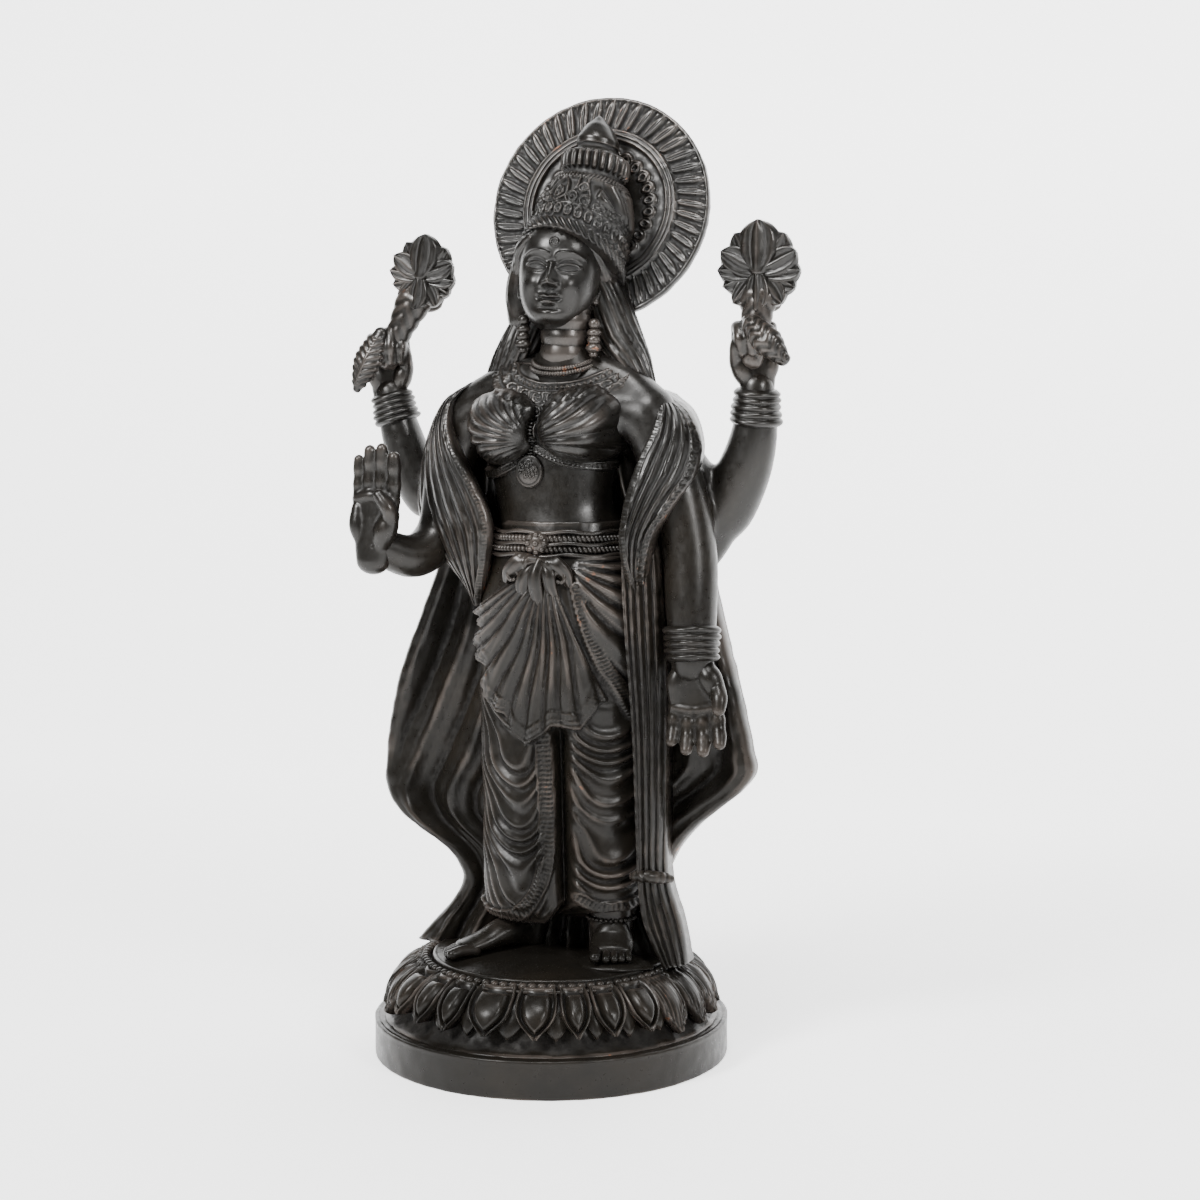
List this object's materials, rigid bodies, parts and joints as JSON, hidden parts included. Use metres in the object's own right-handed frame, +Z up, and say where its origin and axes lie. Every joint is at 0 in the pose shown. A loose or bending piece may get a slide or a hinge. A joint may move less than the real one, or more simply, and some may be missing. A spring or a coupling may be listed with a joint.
{
  "type": "lakshmi figure",
  "caption": "Standing four-armed goddess of fortune with halo and shawl, cast in one with its lotus pedestal and round plinth.",
  "frame": {"origin": "centre of the round plinth's underside", "axes": "+Z up, the figure faces -Y, her left hand is at +X"},
  "size_m": [0.1971, 0.15, 0.4019],
  "materials": {
    "patinated_brass": "satin, near-black brown patina over cast brass, rubbed bright on a few edges"
  },
  "bodies": {
    "root": {"lakshmi_figure": "patinated_brass"}
  },
  "joints": []
}
